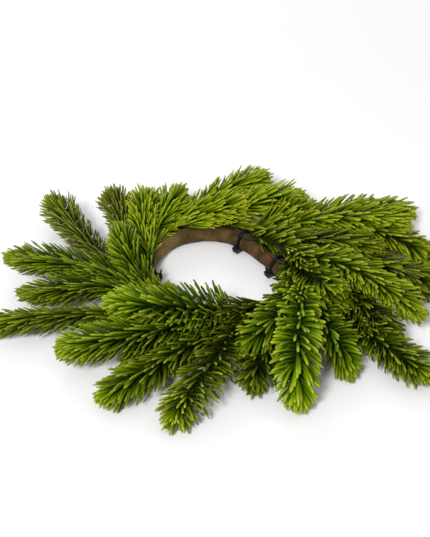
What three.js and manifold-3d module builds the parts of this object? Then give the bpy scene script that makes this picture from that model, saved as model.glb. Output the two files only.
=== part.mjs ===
// An artificial evergreen candle ring: a bark-brown ring with soft green sprigs bound round its outer side.
// Sizes are millimetres and +Z is up. The ring lies flat, and seen from above its sprigs sweep clockwise.
import * as THREE from "three";
import { mergeVertices } from "three/addons/utils/BufferGeometryUtils.js";
import Module from "manifold-3d";

const wasm = await Module();
wasm.setup();

// Ring
const tubeRadius = 6.5;
const tubeSides = 10; // ten sides leave one flat side underneath
const ringSteps = 48;
const ringPlan = [
  [59, 0], [47, 20], [29, 46], [8, 64], [-15, 68], [-38, 60], [-54, 38],
  [-58, 8], [-53, -22], [-34, -46], [-4, -55], [28, -51], [52, -33],
];

// Hole: the candle stands on this centre, and the foliage stays clear of it
const holeCentre = new THREE.Vector2(0, 6);
const candleClearRadius = 41;

// Binding ties
const strapThickness = 1.1;
const strapWidth = 3.5;
const strapSides = 12;
const headSize = new THREE.Vector3(4.8, 5.6, 5.8); // away from the ring, along it, and up
const headAngle = 196; // degrees round the tube from its outer side, over the top
const tailSize = new THREE.Vector3(1.1, 2.6, 3);
const tieAngles = [176, 68, 17, 350, 326, 308, 286, 262, 236, 210]; // degrees round the hole, from +X

// Stems and needles
const stemRadius = 1.2;
const twigRadius = 1.6;
const twigTipRadius = 1.1;
const twigSides = 4;
const slimReach = 6; // the stem is slim to this far on either side of its tie
const swellLength = 8; // and swells over this length where its needles begin
const bareStep = 6.5; // length of the stem's faces where it is bare
const leafyStep = 4; // and where it bears needles
const needleLength = 19;
const needleRootRadius = 1.9;
const needleTipRadius = 1.15;
const needlePitch = 2.7; // distance along the stem from one needle to the next
const needleTurn = 137.5; // degrees round the stem from one needle to the next
const needleRootReach = 6; // needles of one sprig stand clear of each other from here out
const tipStretch = 16; // needles close up towards the tip over this length
const tipLean = 0.55; // share of their lean that is left at the tip
const tipShortening = 0.85; // and of their length
const endNeedleLength = 13; // the stem runs on past its last needles as one more

// Clearances
const gap = 0.3;
const needleGap = 0.25;
const floorGap = 0.4;

const ringHeight = tubeRadius + gap + strapThickness;
const stemOffset = tubeRadius + gap + stemRadius;
const up = new THREE.Vector3(0, 0, 1);
const degrees = THREE.MathUtils.degToRad;

// Each sprig is bound by one tie. "around" is the tie's place round the hole, "lift" the stem's place round the
// tube, 0 on its outer side and 90 on top. The stem starts "before" the tie, runs on "after" it along the ring,
// and leaves along "route". Needles start at "bare" and stand off the stem by "lean" degrees.
const sprigs = [
  { name: "sprig_01", around: 176, lift: 64, after: 36, bare: 22, lean: 34,
    route: [[-22, 74, 19], [11, 78, 31]] },
  { name: "sprig_02", around: 176, lift: 118, bare: 22, lean: 38,
    route: [[-55, 34, 24], [-47, 70, 28], [-38, 98, 27]] },
  { name: "sprig_03", around: 176, lift: 34, after: 9, bare: 52, lean: 36,
    route: [[-56, 52, 17], [-31, 75, 21], [2, 103, 26], [33, 131, 23]] },
  { name: "sprig_04", around: 176, lift: 4, after: 46, bare: 76, lean: 38,
    route: [[-34, 74, 10], [-8, 79, 14], [18, 85, 22], [39, 89, 27], [63, 100, 23]] },
  { name: "sprig_05", around: 68, lift: 63, before: 40, after: 3, bare: 8, lean: 32,
    route: [[35, 59, 19], [46, 66, 24], [56, 73, 25], [73, 84, 24]] },
  { name: "sprig_06", around: 68, lift: 42, after: 3, bare: 24, lean: 42,
    route: [[37, 57, 15], [54, 62, 19], [85, 69, 22], [111, 69, 24], [151, 70, 19]] },
  { name: "sprig_07", around: 68, lift: -18, after: 2, bare: 50, lean: 42,
    route: [[36, 60, 5], [50, 69, 9], [72, 80, 13], [108, 91, 17], [157, 90, 17]] },
  { name: "sprig_08", around: 68, lift: 2, after: 3, bare: 50, lean: 42,
    route: [[38, 56, 8], [54, 58, 9], [78, 62, 13], [120, 61, 17], [146, 43, 19], [171, 22, 17]] },
  { name: "sprig_09", around: 68, lift: 22, after: 6, bare: 50, lean: 42,
    route: [[50, 46, 10], [78, 40, 10], [116, 23, 12], [145, 8, 13], [171, -10, 12]] },
  { name: "sprig_10", around: 68, lift: 84, after: 4, bare: 22, lean: 34,
    route: [[40, 45, 19], [66, 34, 24], [94, 30, 27], [124, 27, 23]] },
  { name: "sprig_11", around: 68, lift: 104, after: 5, bare: 36, lean: 48,
    route: [[40, 38, 22], [62, 4, 31], [97, -16, 36], [126, -40, 32], [145, -55, 24]] },
  { name: "sprig_12", around: 17, lift: 94, after: 4, bare: 12, lean: 50,
    route: [[59, 2, 24], [72, -26, 33], [88, -35, 33]] },
  { name: "sprig_13", around: 17, lift: 60, after: 6, bare: 18, lean: 48,
    route: [[65, -6, 20], [77, -34, 24], [92, -39, 20]] },
  { name: "sprig_14", around: 17, lift: -8, after: 7, bare: 36, lean: 42,
    route: [[70, 8, 8], [80, -12, 9], [97, -42, 13], [118, -82, 16], [147, -113, 13]] },
  { name: "sprig_15", around: 350, lift: 20, after: 6, bare: 18, lean: 44,
    route: [[69, -32, 15], [79, -67, 19], [86, -86, 19], [93, -102, 11]] },
  { name: "sprig_16", around: 350, lift: 60, after: 4, bare: 22, lean: 60,
    route: [[63, -30, 24], [59, -79, 36], [55, -113, 38], [54, -139, 16]] },
  { name: "sprig_17", around: 350, lift: 98, before: 7, after: 6, bare: 18, lean: 55,
    route: [[56, -38, 27], [39, -77, 30], [21, -90, 22]] },
  { name: "sprig_18", around: 326, lift: 25, after: 6, bare: 18, lean: 48,
    route: [[50, -58, 14], [34, -92, 14], [25, -117, 11]] },
  { name: "sprig_19", around: 326, lift: 108, before: 8, after: 8, bare: 22, lean: 32,
    route: [[29, -48, 20], [18, -54, 24], [5, -59, 24]] },
  { name: "sprig_20", around: 308, lift: 40, after: 6, bare: 22, lean: 40,
    route: [[22, -64, 18], [-9, -122, 22], [-30, -157, 14]] },
  { name: "sprig_21", around: 308, lift: 5, after: 6, bare: 26, lean: 42,
    route: [[13, -70, 14], [-20, -87, 17], [-50, -117, 19], [-77, -133, 13]] },
  { name: "sprig_22", around: 286, lift: -14, before: 7, after: 6, bare: 20, lean: 40,
    route: [[-8, -68, 9], [-38, -85, 11], [-62, -96, 11]] },
  { name: "sprig_23", around: 286, lift: 40, before: 8, after: 6, bare: 16, lean: 48,
    route: [[-8, -64, 19], [-32, -75, 24], [-60, -86, 26], [-108, -92, 19]] },
  { name: "sprig_24", around: 286, lift: 92, before: 12, after: 6, bare: 14, lean: 44,
    route: [[-6, -56, 24], [-44, -63, 33], [-76, -58, 34]] },
  { name: "sprig_25", around: 262, lift: 108, before: 14, after: 8, bare: 8, lean: 36,
    route: [[-36, -43, 20], [-50, -28, 22]] },
  { name: "sprig_26", around: 262, lift: 18, bare: 34, lean: 35,
    route: [[-46, -57, 11], [-82, -46, 13], [-129, -51, 15], [-165, -54, 14]] },
  { name: "sprig_27", around: 236, lift: 5, after: 6, bare: 22, lean: 38,
    route: [[-66, -29, 12], [-86, -21, 15], [-106, -25, 17], [-144, -28, 14]] },
  { name: "sprig_28", around: 236, lift: 40, after: 4, bare: 22, lean: 32,
    route: [[-60, -28, 18.5], [-76, -12, 21], [-121, 4, 23], [-161, 15, 20]] },
  { name: "sprig_29", around: 236, lift: 80, before: 8, after: 12, bare: 21, lean: 35,
    route: [[-63, -8, 23], [-70, 0, 30], [-79, 28, 36]] },
  { name: "sprig_30", around: 210, lift: -4, after: 10, bare: 26, lean: 40,
    route: [[-76, 9, 11], [-99, 34, 13], [-119, 59, 17], [-140, 92, 21]] },
  { name: "sprig_31", around: 210, lift: 30, after: 15, bare: 44, lean: 44,
    route: [[-71, 10, 15], [-77, 34, 18], [-81, 70, 20], [-90, 99, 23]] },
  { name: "sprig_32", around: 17, lift: 26, after: 6, bare: 42, lean: 40,
    route: [[80, -3, 15], [100, -28, 19], [114, -53, 21], [126, -73, 18]] },
  { name: "sprig_33", around: 176, lift: 92, bare: 22, lean: 40,
    route: [[-62, 34, 25], [-62, 66, 30], [-63, 90, 29]] },
];

// Materials
const barkBrown = new THREE.MeshStandardMaterial({ color: 0x5b4432, roughness: 0.85, metalness: 0 });
const tieBlack = new THREE.MeshStandardMaterial({ color: 0x0d0d0e, roughness: 0.4, metalness: 0 });
const leafGreen = new THREE.MeshStandardMaterial({ color: 0x4b6a14, roughness: 0.45, metalness: 0 });

// Solids
function solidOf(geometry) {
  geometry.deleteAttribute("normal");
  geometry.deleteAttribute("uv");
  const merged = mergeVertices(geometry);
  const vertProperties = merged.getAttribute("position").array;
  const triVerts = new Uint32Array(merged.index.array);
  return new wasm.Manifold(new wasm.Mesh({ numProp: 3, vertProperties, triVerts }));
}

function meshOf(name, solid, material) {
  const { numProp, vertProperties, triVerts } = solid.getMesh();
  const packed = new THREE.InterleavedBuffer(vertProperties, numProp);
  const geometry = new THREE.BufferGeometry();
  geometry.setAttribute("position", new THREE.InterleavedBufferAttribute(packed, 3, 0));
  geometry.setIndex(new THREE.BufferAttribute(triVerts, 1));
  const flat = geometry.toNonIndexed();
  flat.computeVertexNormals();
  const mesh = new THREE.Mesh(flat, material);
  mesh.name = name;
  return mesh;
}

// The ring's centreline, a little uneven as wound by hand
const ringLine = new THREE.CatmullRomCurve3(ringPlan.map(([x, y]) => new THREE.Vector3(x, y, ringHeight)), true);
const ringLength = ringLine.getLength();

function ringFrame(share) {
  const turn = ((share % 1) + 1) % 1;
  const point = ringLine.getPointAt(turn);
  const along = ringLine.getTangentAt(turn);
  return { point, along, outward: new THREE.Vector3().crossVectors(along, up) };
}

// The share of the ring's length at a number of degrees round the hole
function shareAt(around) {
  const samples = 720;
  const want = new THREE.Vector2(Math.cos(degrees(around)), Math.sin(degrees(around)));
  let best = 0;
  let bestDot = -1;
  for (let i = 0; i < samples; i += 1) {
    const { x, y } = ringLine.getPointAt(i / samples);
    const dot = new THREE.Vector2(x, y).sub(holeCentre).normalize().dot(want);
    if (dot > bestDot) {
      bestDot = dot;
      best = i / samples;
    }
  }
  return best;
}

function ringSolid() {
  const torus = new THREE.TorusGeometry(3 * tubeRadius, tubeRadius, tubeSides, ringSteps);
  const place = torus.getAttribute("position");
  for (let i = 0; i < place.count; i += 1) {
    const x = place.getX(i);
    const y = place.getY(i);
    const { point, outward } = ringFrame(Math.round((Math.atan2(y, x) / (2 * Math.PI)) * ringSteps) / ringSteps);
    const out = Math.hypot(x, y) - 3 * tubeRadius;
    place.setXYZ(i, point.x + outward.x * out, point.y + outward.y * out, ringHeight + place.getZ(i));
  }
  return solidOf(torus);
}

// A point beside the tube, at an angle round it from its outer side
function besideTube(share, lift, distance) {
  const { point, outward } = ringFrame(share);
  return point
    .addScaledVector(outward, distance * Math.cos(degrees(lift)))
    .addScaledVector(up, distance * Math.sin(degrees(lift)));
}

function spineOf({ around, lift, before = 9, after = 8, route }) {
  const tie = shareAt(around);
  const points = [];
  const alongRing = (from, to) => {
    const steps = Math.max(1, Math.round(Math.abs(to - from) / 9));
    for (let i = 1; i <= steps; i += 1)
      points.push(besideTube(tie + (from + ((to - from) * i) / steps) / ringLength, lift, stemOffset));
  };
  points.push(besideTube(tie + before / ringLength, lift, stemOffset));
  alongRing(before, 0);
  alongRing(0, -after);
  for (const [x, y, z] of route) points.push(new THREE.Vector3(x, y, z));
  return new THREE.CatmullRomCurve3(points);
}

// Tie: a strap round the tube and its stems, with its head and cut tail on the inner side
function strapOutline(lifts, clearance) {
  const rounds = lifts.map((lift) => ({
    centre: new THREE.Vector2(Math.cos(degrees(lift)), Math.sin(degrees(lift))).multiplyScalar(stemOffset),
    radius: stemRadius + clearance,
  }));
  rounds.push({ centre: new THREE.Vector2(), radius: tubeRadius + clearance });
  const sides = [];
  for (let i = 0; i < strapSides; i += 1) {
    const facing = new THREE.Vector2(1, 0).rotateAround(new THREE.Vector2(), (2 * Math.PI * i) / strapSides);
    sides.push({ facing, reach: Math.max(...rounds.map(({ centre, radius }) => centre.dot(facing) + radius)) });
  }
  return sides.map((side, i) => {
    const next = sides[(i + 1) % strapSides];
    const cross = side.facing.cross(next.facing);
    return new THREE.Vector2(
      (side.reach * next.facing.y - next.reach * side.facing.y) / cross,
      (next.reach * side.facing.x - side.reach * next.facing.x) / cross,
    );
  });
}

function tieSolid(around, lifts) {
  const strap = new THREE.Shape(strapOutline(lifts, gap + strapThickness));
  strap.holes.push(new THREE.Path(strapOutline(lifts, gap)));
  const loop = new THREE.ExtrudeGeometry(strap, { depth: strapWidth, bevelEnabled: false });
  loop.translate(0, 0, -strapWidth / 2);

  const inward = new THREE.Vector2(Math.cos(degrees(headAngle)), Math.sin(degrees(headAngle)));
  const headCentre = inward.clone().multiplyScalar(tubeRadius + gap + strapThickness / 2 + headSize.x / 2);
  const head = new THREE.BoxGeometry(headSize.x, headSize.z, headSize.y);
  head.rotateZ(degrees(headAngle));
  head.translate(headCentre.x, headCentre.y, 0);

  const tailCentre = headCentre.clone().addScaledVector(new THREE.Vector2(-inward.y, inward.x), -headSize.z / 2);
  const tail = new THREE.BoxGeometry(tailSize.x, tailSize.z * 2, tailSize.y);
  tail.rotateZ(degrees(headAngle));
  tail.translate(tailCentre.x, tailCentre.y, 0);

  const { point, along, outward } = ringFrame(shareAt(around));
  const stand = new THREE.Matrix4().makeBasis(outward, up, along.clone().negate()).setPosition(point);
  const parts = [loop, head, tail].map((piece) => solidOf(piece.applyMatrix4(stand)));
  return wasm.Manifold.union(parts);
}

// Sprig: a slim four-sided stem bent along its spine, some of whose faces are pulled out into needles
function twigFrame(spine, length, distance) {
  const share = THREE.MathUtils.clamp(distance / length, 0, 1);
  const along = spine.getTangentAt(share);
  const side = new THREE.Vector3().crossVectors(along, up).normalize();
  const point = spine.getPointAt(share).addScaledVector(along, Math.max(0, distance - length));
  return { point, along, side, over: new THREE.Vector3().crossVectors(side, along) };
}

function twigRadiusAt({ before = 9, bare }, length, distance) {
  const offTie = THREE.MathUtils.smoothstep(Math.abs(distance - before), slimReach, slimReach + swellLength);
  const swell = Math.min(offTie, THREE.MathUtils.smoothstep(distance, bare - swellLength, bare));
  const taper = THREE.MathUtils.clamp((length - distance) / tipStretch, 0, 1);
  return THREE.MathUtils.lerp(twigTipRadius, THREE.MathUtils.lerp(stemRadius, twigRadius, swell), taper);
}

// The bare stem as points and faces. Each side face keeps its place along and round the stem.
function bareTwig(sprig, spine, length) {
  const rows = [0];
  while (rows.at(-1) < length - 1.5 * leafyStep)
    rows.push(rows.at(-1) + (rows.at(-1) < sprig.bare - bareStep ? bareStep : leafyStep));
  rows.push(length, length + endNeedleLength);

  const cylinder = new THREE.CylinderGeometry(1, 1, rows.length - 1, twigSides, rows.length - 1);
  cylinder.translate(0, (rows.length - 1) / 2, 0);
  cylinder.deleteAttribute("normal");
  cylinder.deleteAttribute("uv");
  const straight = mergeVertices(cylinder);
  const place = straight.getAttribute("position");
  const upright = [];
  const points = [];
  for (let i = 0; i < place.count; i += 1) {
    const at = new THREE.Vector3().fromBufferAttribute(place, i);
    at.y = rows[Math.round(at.y)];
    const { point, side, over } = twigFrame(spine, length, at.y);
    const radius = twigRadiusAt(sprig, length, at.y);
    upright.push(at);
    points.push(point.addScaledVector(side, at.x * radius).addScaledVector(over, at.z * radius));
  }

  const faces = [];
  for (let i = 0; i < straight.index.count; i += 3) {
    const corners = [0, 1, 2].map((k) => straight.index.getX(i + k));
    const { x, y, z } = new THREE.Triangle(...corners.map((k) => upright[k])).getMidpoint(new THREE.Vector3());
    faces.push({ corners, distance: y, turn: Math.atan2(z, x), isFree: y > sprig.bare && y < length });
  }
  return { points, faces };
}

// The free face nearest to a place along and round the stem
function nearestFace(faces, distance, turn) {
  const offset = (face) => {
    const turned = Math.abs(THREE.MathUtils.euclideanModulo(face.turn - turn + Math.PI, 2 * Math.PI) - Math.PI);
    return Math.abs(face.distance - distance) + leafyStep * turned;
  };
  const free = faces.filter((face) => face.isFree);
  return free.reduce((best, face) => (offset(face) < offset(best) ? face : best), free[0]);
}

// Pulls a face out into a needle, of which it becomes the blunt end. The faces beside it stay as they are.
function raiseNeedle({ points, faces }, face, tip, direction) {
  const roots = face.corners.map((k) => points[k]);
  const centre = new THREE.Triangle(...roots).getMidpoint(new THREE.Vector3());
  const spread = roots.map((root) => root.clone().sub(centre).projectOnPlane(direction));
  const shrink = needleTipRadius / Math.max(...spread.map((offset) => offset.length()));
  const ends = spread.map((offset) => points.push(tip.clone().addScaledVector(offset, shrink)) - 1);
  for (const other of faces)
    if (other.corners.filter((corner) => face.corners.includes(corner)).length > 1) other.isFree = false;
  face.corners.forEach((root, k) => {
    const next = (k + 1) % 3;
    faces.push({ corners: [root, face.corners[next], ends[next]] }, { corners: [root, ends[next], ends[k]] });
  });
  face.corners = ends;
}

function sprigSolid({ points, faces }) {
  const geometry = new THREE.BufferGeometry().setFromPoints(points);
  geometry.setIndex(faces.flatMap((face) => face.corners));
  return solidOf(geometry);
}

// What is in the way: every piece so far, as round-ended bars that taper from their start to their end
const bars = [];

function addBar(owner, start, end, radius, endRadius = radius) {
  const line = new THREE.Line3(start, end);
  const middle = line.getCenter(new THREE.Vector3());
  bars.push({ owner, line, radius, endRadius, middle, half: line.distance() / 2 });
}

function radiusNear({ line, radius, endRadius }, point) {
  const length = line.distance();
  return length > 0 ? THREE.MathUtils.lerp(radius, endRadius, line.start.distanceTo(point) / length) : radius;
}

// A needle clears other pieces over its whole length, and its own sprig beyond its root's reach
function isClear(owner, start, end) {
  if (Math.min(start.z, end.z) < needleRootRadius + floorGap) return false;
  const whole = { line: new THREE.Line3(start, end), radius: needleRootRadius, endRadius: needleTipRadius };
  const reach = needleRootReach / start.distanceTo(end);
  const outer = {
    line: new THREE.Line3(start.clone().lerp(end, reach), end),
    radius: THREE.MathUtils.lerp(needleRootRadius, needleTipRadius, reach),
    endRadius: needleTipRadius,
  };
  const middle = start.clone().lerp(end, 0.5);
  const half = start.distanceTo(end) / 2;
  const candle = new THREE.Vector3(holeCentre.x, holeCentre.y, middle.z);
  const nearest = whole.line.closestPointToPoint(candle, true, new THREE.Vector3()).setZ(middle.z);
  if (nearest.distanceTo(candle) < candleClearRadius + needleRootRadius) return false;
  const onNeedle = new THREE.Vector3();
  const onBar = new THREE.Vector3();
  return bars.every((bar) => {
    const needle = bar.owner === owner ? outer : whole;
    const most = Math.max(bar.radius, bar.endRadius) + needleRootRadius + needleGap;
    if (bar.middle.distanceTo(middle) > bar.half + half + most) return true;
    const apart = Math.sqrt(needle.line.distanceSqToLine3(bar.line, onNeedle, onBar));
    return apart > radiusNear(needle, onNeedle) + radiusNear(bar, onBar) + needleGap;
  });
}

// The ring is bare on its inner side behind the candle, so no needle hangs over it there
function hangsOverRing(tip) {
  if (tip.y < holeCentre.y) return false;
  const samples = 90;
  let nearest = ringFrame(0);
  for (let i = 1; i < samples; i += 1) {
    const frame = ringFrame(i / samples);
    if (frame.point.distanceToSquared(tip) < nearest.point.distanceToSquared(tip)) nearest = frame;
  }
  return tip.clone().sub(nearest.point).dot(nearest.outward) < tubeRadius / 2;
}

// Turns, leans and lengths that a needle tries, the natural one first
const turnTries = [0, 14, -14, 28, -28, 42, -42, 60, -60];
const leanTries = [0, -10, 8, -20];
const lengthTries = [1, 0.85, 0.7];
const mostSkew = degrees(50); // between a needle and the middle of its root's face, round the stem

function addNeedle({ sprig, spine, length, twig }, distance, order) {
  const closing = THREE.MathUtils.clamp((length - distance) / tipStretch, 0, 1);
  for (const share of lengthTries)
    for (const leanBy of leanTries)
      for (const turnBy of turnTries) {
        const turn = degrees(((order * needleTurn + turnBy + 180) % 360) - 180);
        const face = nearestFace(twig.faces, distance, turn);
        if (!face || Math.abs(face.distance - distance) > leafyStep) continue;
        if (Math.cos(face.turn - turn) < Math.cos(mostSkew)) continue;
        const { along, side, over } = twigFrame(spine, length, face.distance);
        const lean = degrees((sprig.lean + leanBy) * THREE.MathUtils.lerp(tipLean, 1, closing));
        const direction = new THREE.Vector3()
          .addScaledVector(side, Math.cos(turn) * Math.sin(lean))
          .addScaledVector(over, Math.sin(turn) * Math.sin(lean))
          .addScaledVector(along, Math.cos(lean));
        const roots = face.corners.map((k) => twig.points[k]);
        const root = new THREE.Triangle(...roots).getMidpoint(new THREE.Vector3());
        const reach = needleLength * share * THREE.MathUtils.lerp(tipShortening, 1, closing);
        const tip = root.clone().addScaledVector(direction, reach);
        if (isClear(sprig.name, root, tip) && !hangsOverRing(tip)) {
          addBar(sprig.name, root, tip, needleRootRadius, needleTipRadius);
          raiseNeedle(twig, face, tip, direction);
          return;
        }
      }
}

// Build
const candleRing = new THREE.Group();
candleRing.add(meshOf("ring_core", ringSolid(), barkBrown));
for (let i = 0; i < ringSteps; i += 1)
  addBar("ring_core", ringFrame(i / ringSteps).point, ringFrame((i + 1) / ringSteps).point, tubeRadius);

tieAngles.forEach((around, i) => {
  const name = "tie_" + String(i + 1).padStart(2, "0");
  const lifts = sprigs.filter((sprig) => sprig.around === around).map((sprig) => sprig.lift);
  candleRing.add(meshOf(name, tieSolid(around, lifts), tieBlack));
  const { point, outward } = ringFrame(shareAt(around));
  const strap = strapOutline(lifts, gap + strapThickness / 2);
  const corners = strap.map(({ x, y }) => point.clone().addScaledVector(outward, x).addScaledVector(up, y));
  corners.forEach((corner, k) => addBar(name, corner, corners[(k + 1) % strapSides], strapWidth / 2));
  const head = besideTube(shareAt(around), headAngle, tubeRadius + gap + headSize.x / 2);
  addBar(name, head, head, headSize.length() / 2);
});

const plans = sprigs.map((sprig) => {
  const spine = spineOf(sprig);
  const length = spine.getLength();
  const twig = bareTwig(sprig, spine, length);
  const barStep = 4;
  for (let distance = 0; distance < length + endNeedleLength; distance += barStep) {
    const start = twigFrame(spine, length, distance).point;
    const end = twigFrame(spine, length, Math.min(length + endNeedleLength, distance + barStep)).point;
    addBar(sprig.name, start, end, twigRadiusAt(sprig, length, distance));
  }
  const slots = [];
  for (let distance = length - 1; distance > sprig.bare; distance -= needlePitch)
    if (Math.abs(distance - (sprig.before ?? 9)) > strapWidth + leafyStep) slots.push(distance);
  return { sprig, spine, length, twig, slots };
});

// Needles are placed one per sprig in turn, from the tips inwards, so that no sprig takes its neighbour's room
const mostSlots = Math.max(...plans.map(({ slots }) => slots.length));
for (let order = 0; order < mostSlots; order += 1)
  for (const plan of plans) if (order < plan.slots.length) addNeedle(plan, plan.slots[order], order);

for (const { sprig, twig } of plans) candleRing.add(meshOf(sprig.name, sprigSolid(twig), leafGreen));

// The frame's origin is on the surface that the ring lies on, under the middle of the whole part
const extent = new THREE.Box3().setFromObject(candleRing);
const middle = extent.getCenter(new THREE.Vector3());
candleRing.position.set(-middle.x, -middle.y, -extent.min.z);

export default candleRing;
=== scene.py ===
import math
import bpy
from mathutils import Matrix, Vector, noise


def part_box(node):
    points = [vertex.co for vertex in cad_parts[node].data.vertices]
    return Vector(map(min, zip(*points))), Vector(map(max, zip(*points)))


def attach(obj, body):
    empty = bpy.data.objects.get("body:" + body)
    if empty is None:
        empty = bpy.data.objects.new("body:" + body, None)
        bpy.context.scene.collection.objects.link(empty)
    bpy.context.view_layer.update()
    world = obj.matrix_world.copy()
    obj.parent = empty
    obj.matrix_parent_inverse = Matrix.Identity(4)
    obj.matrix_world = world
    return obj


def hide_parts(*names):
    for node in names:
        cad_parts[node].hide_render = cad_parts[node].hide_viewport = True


# Artificial evergreen candle ring: a brown wound ring, with needle sprigs bound on by cable ties.
# Sizes are in millimetres, but in metres in the looks and on the stage.
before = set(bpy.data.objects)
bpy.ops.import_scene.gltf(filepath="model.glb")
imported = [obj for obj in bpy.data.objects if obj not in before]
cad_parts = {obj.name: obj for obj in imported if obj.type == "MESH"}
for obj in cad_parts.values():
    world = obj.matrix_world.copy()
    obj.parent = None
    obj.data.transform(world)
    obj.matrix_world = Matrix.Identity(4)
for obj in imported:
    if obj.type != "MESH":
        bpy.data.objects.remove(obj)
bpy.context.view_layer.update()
mm = 0.001
wholeTurn = 360  # in degrees
print("frame loaded,", len(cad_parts), "nodes")


# Paths
def smoothPath(points, closed=False, steps=16):  # a curve through the points
    count = len(points)
    path = []
    for i in range(count if closed else count - 1):
        a, b = points[i], points[(i + 1) % count]
        before = points[i - 1] if i or closed else 2 * a - b
        after = points[(i + 2) % count] if i + 2 < count or closed else 2 * b - a
        d0, d1, d2 = (math.sqrt((q - p).length) for p, q in ((before, a), (a, b), (b, after)))
        t1 = ((a - before) / d0 - (b - before) / (d0 + d1) + (b - a) / d1) * d1
        t2 = ((b - a) / d1 - (after - a) / (d1 + d2) + (after - b) / d2) * d1
        for k in range(steps):
            t = k / steps
            curved = (3 * (b - a) - 2 * t1 - t2) * t ** 2 + (2 * (a - b) + t1 + t2) * t ** 3
            path.append(a + t1 * t + curved)
    return path if closed else path + [points[-1].copy()]


def marksOf(path):  # the distance along the path at each of its points
    marks = [0.0]
    for a, b in zip(path, path[1:]):
        marks.append(marks[-1] + (b - a).length)
    return marks


# Pieces
def newPiece(name, data):
    piece = bpy.data.objects.new(name, data)
    bpy.context.scene.collection.objects.link(piece)
    return piece


def meshFrom(name, points, edges, faces, smooth=True):
    mesh = bpy.data.meshes.new(name)
    mesh.from_pydata(points, edges, faces)
    if smooth and faces:
        mesh.polygons.foreach_set("use_smooth", [True] * len(mesh.polygons))
    mesh.update()
    return mesh


def addValues(mesh, name, values):
    mesh.attributes.new(name, "FLOAT", "POINT").data.foreach_set("value", values)


def finishPiece(piece, node):
    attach(piece, "root")
    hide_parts(node)


# Nodes
def addNode(tree, kind, values=None, **settings):  # the values go by a socket's name or place
    made = tree.nodes.new(kind)
    for key, value in settings.items():
        setattr(made, key, value)
    for key, value in (values or {}).items():
        if isinstance(value, bpy.types.NodeSocket):
            tree.links.new(value, made.inputs[key])
        else:
            made.inputs[key].default_value = value
    return made


def fromNode(tree, kind, values=None, **settings):
    return addNode(tree, kind, values, **settings).outputs[0]


def calc(tree, operation, *values):
    return fromNode(tree, "ShaderNodeMath", dict(enumerate(values)), operation=operation)


def times(tree, a, b):
    return calc(tree, "MULTIPLY", a, b)


def plus(tree, a, b):
    return calc(tree, "ADD", a, b)


def minus(tree, a, b):
    return calc(tree, "SUBTRACT", a, b)


def vectorCalc(tree, operation, *values):
    made = addNode(tree, "ShaderNodeVectorMath", dict(enumerate(values)), operation=operation)
    return made.outputs["Value" if operation == "LENGTH" else "Vector"]


def scaled(tree, vector, amount):
    return fromNode(tree, "ShaderNodeVectorMath", {0: vector, "Scale": amount}, operation="SCALE")


def heightOf(tree, vector):
    return addNode(tree, "ShaderNodeSeparateXYZ", {0: vector}).outputs[2]


def keptAbove(tree, vector, least):  # the vector, with no height under the least
    parts = addNode(tree, "ShaderNodeSeparateXYZ", {0: vector}).outputs
    up = calc(tree, "MAXIMUM", parts[2], least)
    return fromNode(tree, "ShaderNodeCombineXYZ", {0: parts[0], 1: parts[1], 2: up})


def blend(tree, low, high, share):  # from low at no share to high at a whole one
    return fromNode(tree, "ShaderNodeMapRange", {"Value": share, "To Min": low, "To Max": high})


def above(tree, value, low, high=1.0):  # how far the value has come from low to high
    return fromNode(tree, "ShaderNodeMapRange", {"Value": value, "From Min": low, "From Max": high})


# Finishes, and the mottling that they all use: patches for the colour, and grain for the roughness
cloudDetail = 3.0


def mottleGroup():
    group = bpy.data.node_groups.new("mottle", "ShaderNodeTree")
    for name in ("Patch size", "Grain size", "Amount"):
        group.interface.new_socket(name, in_out="INPUT", socket_type="NodeSocketFloat")
    for name in ("Patches", "Grain"):
        group.interface.new_socket(name, in_out="OUTPUT", socket_type="NodeSocketFloat")
    put = group.nodes.new("NodeGroupInput").outputs
    out = group.nodes.new("NodeGroupOutput").inputs
    place = addNode(group, "ShaderNodeTexCoord").outputs["Object"]
    for output, size in (("Patches", "Patch size"), ("Grain", "Grain size")):
        cloud = {"Vector": place, "Scale": calc(group, "DIVIDE", 1.0, put[size]), "Detail": cloudDetail}
        centred = minus(group, fromNode(group, "ShaderNodeTexNoise", cloud), 0.5)
        group.links.new(calc(group, "MULTIPLY_ADD", centred, put["Amount"], 0.5), out[output])
    return group


mottle = mottleGroup()


def newFinish(name, look):
    material = bpy.data.materials.new(name)
    material.use_nodes = True
    tree = material.node_tree
    shader = tree.nodes["Principled BSDF"].inputs
    shader["Specular IOR Level"].default_value = look["shine"]
    sizes = {"Patch size": look["patch"], "Grain size": look["grain"], "Amount": look["mottle"]}
    made = tree.nodes.new("ShaderNodeGroup")
    made.node_tree = mottle
    for label, value in sizes.items():
        made.inputs[label].default_value = value
    grain = made.outputs["Grain"]
    tree.links.new(blend(tree, *look["roughness"], grain), shader["Roughness"])
    relief = {"Height": grain, "Distance": look["relief"], "Strength": look["reliefStrength"]}
    tree.links.new(fromNode(tree, "ShaderNodeBump", relief), shader["Normal"])
    return material, tree, shader, made.outputs["Patches"]


def ramp(tree, factor, stops):
    made = addNode(tree, "ShaderNodeValToRGB", {"Fac": factor})
    line = made.color_ramp
    while len(line.elements) < len(stops):
        line.elements.new(0.5)
    for element, (place, colour) in zip(line.elements, stops):
        element.position = place
        element.color = (*colour, 1)
    return made.outputs[0]


def mixColours(tree, share, a, b):  # the sockets for colours are 6 and 7, and 2 for the result
    made = addNode(tree, "ShaderNodeMix", {0: share}, data_type="RGBA")
    for socket, value in ((made.inputs[6], a), (made.inputs[7], b)):
        if isinstance(value, bpy.types.NodeSocket):
            tree.links.new(value, socket)
        else:
            socket.default_value = (*value, 1)
    return made.outputs[2]


def attribute(tree, name):
    return addNode(tree, "ShaderNodeAttribute", attribute_name=name).outputs["Fac"]


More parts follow.
